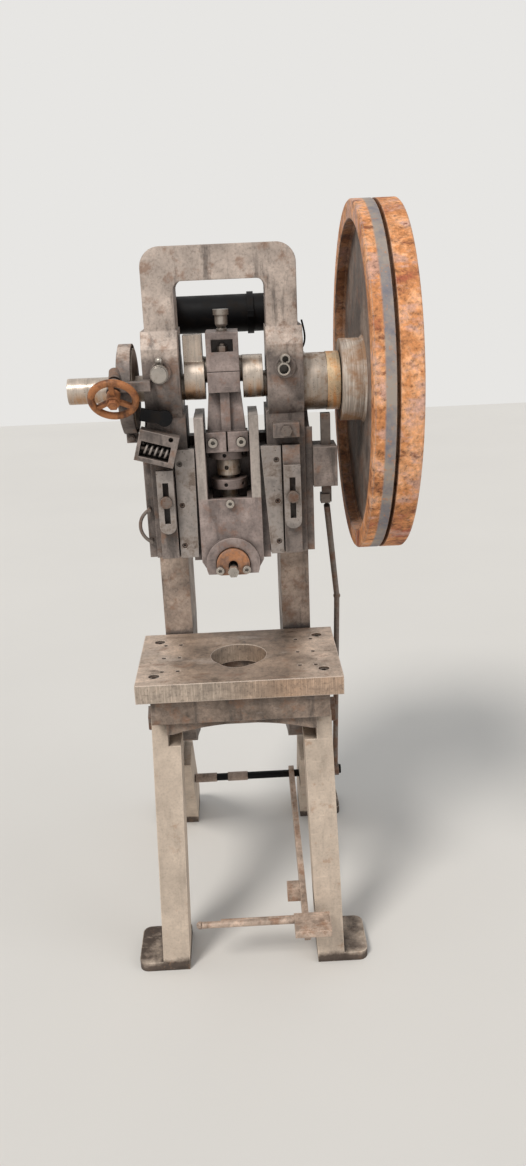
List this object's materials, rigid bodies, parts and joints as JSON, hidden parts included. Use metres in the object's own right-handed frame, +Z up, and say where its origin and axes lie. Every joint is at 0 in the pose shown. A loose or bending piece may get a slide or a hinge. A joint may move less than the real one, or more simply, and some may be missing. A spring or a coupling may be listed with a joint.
{
  "type": "open-back inclinable stamping press",
  "caption": "Old treadle-operated stamping press with a tilting cast C-frame on splayed legs, crank, connecting rod and slide in front and a rusty flywheel on the right.",
  "frame": {"origin": "on the floor under the middle of the bounding box", "axes": "+X towards the flywheel, the machine's right seen by the operator, +Y to the back, +Z up"},
  "size_m": [0.57, 0.848, 1.438],
  "materials": {
    "frame_iron": "oily, grey-brown, worn",
    "leg_iron": "dusty grey, worn",
    "bolt_steel": "dark, worn bright on edges",
    "bearing_bronze": "oily",
    "table_steel": "machined, brown patina",
    "black_steel": "black, oily",
    "fitting_steel": "dull bright steel",
    "lining": "worn woven friction lining",
    "rust_iron": "orange rust",
    "shaft_steel": "turned, oily",
    "wheel_iron": "orange rust with a grey belt track",
    "slide_iron": "dark, oily",
    "treadle_steel": "dusty brown"
  },
  "bodies": {
    "stand": {"left_leg": "leg_iron", "right_leg": "leg_iron", "tie_rod": "bolt_steel"},
    "frame": {"press_frame": "frame_iron", "bearing_bushes": "bearing_bronze", "bolster_plate": "table_steel", "bolster_screws": "bolt_steel", "left_gib": "table_steel", "right_gib": "table_steel", "gib_screws": "bolt_steel", "left_stop_column": "frame_iron", "right_stop_column": "frame_iron", "stop_bolts": "bolt_steel", "cross_tube": "black_steel", "housing_bolt": "bolt_steel", "left_lubricator": "fitting_steel", "right_oil_tubes": "fitting_steel", "oil_pipe": "bolt_steel", "latch_box": "frame_iron", "brake_band": "frame_iron", "brake_lining": "lining", "brake_lever": "black_steel", "brake_spring_bracket": "frame_iron", "brake_spring": "bolt_steel", "band_bolt": "bolt_steel", "brake_screw_bracket": "frame_iron", "pivot_bolts": "bolt_steel", "tilt_clamp_bolts": "bolt_steel"},
    "crankshaft": {"crankshaft": "shaft_steel", "brake_drum": "shaft_steel", "clutch_collar": "shaft_steel", "clutch_ring": "rust_iron", "end_nut": "bolt_steel"},
    "flywheel": {"flywheel": "wheel_iron", "flywheel_bush": "bearing_bronze"},
    "connecting_rod": {"connecting_rod": "slide_iron", "rod_cap": "slide_iron", "cap_nuts": "bolt_steel", "rod_bushes": "bearing_bronze", "grease_cup": "fitting_steel", "rod_clamp_screws": "bolt_steel"},
    "adjusting_screw": {"adjusting_screw": "shaft_steel", "lock_ring": "shaft_steel", "gland_ring": "shaft_steel"},
    "slide": {"slide": "slide_iron", "ball_seat": "shaft_steel", "shank_clamp": "rust_iron", "slide_screws": "bolt_steel", "shank_set_screw": "fitting_steel"},
    "handwheel": {"handwheel": "rust_iron", "brake_spindle": "rust_iron"},
    "left_stop": {"left_stop_plate": "frame_iron"},
    "right_stop": {"right_stop_plate": "frame_iron"},
    "latch": {"latch_post": "treadle_steel"},
    "treadle": {"rocker_shaft": "treadle_steel", "rocker_arm": "treadle_steel", "treadle_lever": "treadle_steel", "pedal": "treadle_steel", "treadle_bars": "treadle_steel"},
    "pull_rod": {"pull_rod": "black_steel"}
  },
  "joints": [
    {"name": "tilt", "type": "hinge", "parent": "stand", "child": "frame", "pos_m": [-0.02, -0.076, 0.498], "axis": [-1, 0, 0], "range_deg": [0, 25]},
    {"name": "crank_turn", "type": "hinge", "parent": "frame", "child": "crankshaft", "pos_m": [-0.02, -0.136, 1.15], "axis": [1, 0, 0], "range_deg": [0, 180]},
    {"name": "flywheel_spin", "type": "hinge", "parent": "crankshaft", "child": "flywheel", "pos_m": [-0.02, -0.136, 1.15], "axis": [1, 0, 0], "continuous": true},
    {"name": "rod_swing", "type": "hinge", "parent": "crankshaft", "child": "connecting_rod", "pos_m": [-0.02, -0.136, 1.177], "axis": [1, 0, 0], "range_deg": [-180, 0]},
    {"name": "screw_turn", "type": "hinge", "parent": "connecting_rod", "child": "adjusting_screw", "pos_m": [-0.02, -0.136, 1.04], "axis": [0, 0, 1], "range_deg": [-180, 180]},
    {"name": "ram_slide", "type": "slide", "parent": "frame", "child": "slide", "axis": [0, 0, 1], "range_m": [-0.054, 0]},
    {"name": "handwheel_turn", "type": "hinge", "parent": "frame", "child": "handwheel", "pos_m": [-0.197, -0.246, 1.148], "axis": [0, 0.809, 0.5878], "continuous": true},
    {"name": "left_stop_slide", "type": "slide", "parent": "frame", "child": "left_stop", "axis": [0, 0, 1], "range_m": [-0.026, 0.005]},
    {"name": "right_stop_slide", "type": "slide", "parent": "frame", "child": "right_stop", "axis": [0, 0, 1], "range_m": [-0.026, 0.033]},
    {"name": "treadle_press", "type": "hinge", "parent": "stand", "child": "treadle", "pos_m": [-0.02, 0.214, 0.19], "axis": [1, 0, 0], "range_deg": [0, 9], "stiffness_Nm_per_rad": 90, "springref_deg": -20.05},
    {"name": "pull_rod_swing", "type": "hinge", "parent": "treadle", "child": "pull_rod", "pos_m": [0.18, 0.099, 0.262], "axis": [1, 0, 0], "range_deg": [-10, 0]},
    {"name": "latch_slide", "type": "slide", "parent": "frame", "child": "latch", "axis": [0, 0, 1], "range_m": [-0.0138, 0]}
  ],
  "couplings": [
    {"joint": "rod_swing", "follows": "crank_turn", "ratio": -1},
    {"joint": "ram_slide", "follows": "crank_turn", "m_per_rad": -0.017189},
    {"joint": "pull_rod_swing", "follows": "treadle_press", "ratio": -1.107},
    {"joint": "latch_slide", "follows": "treadle_press", "m_per_rad": -0.0866}
  ]
}
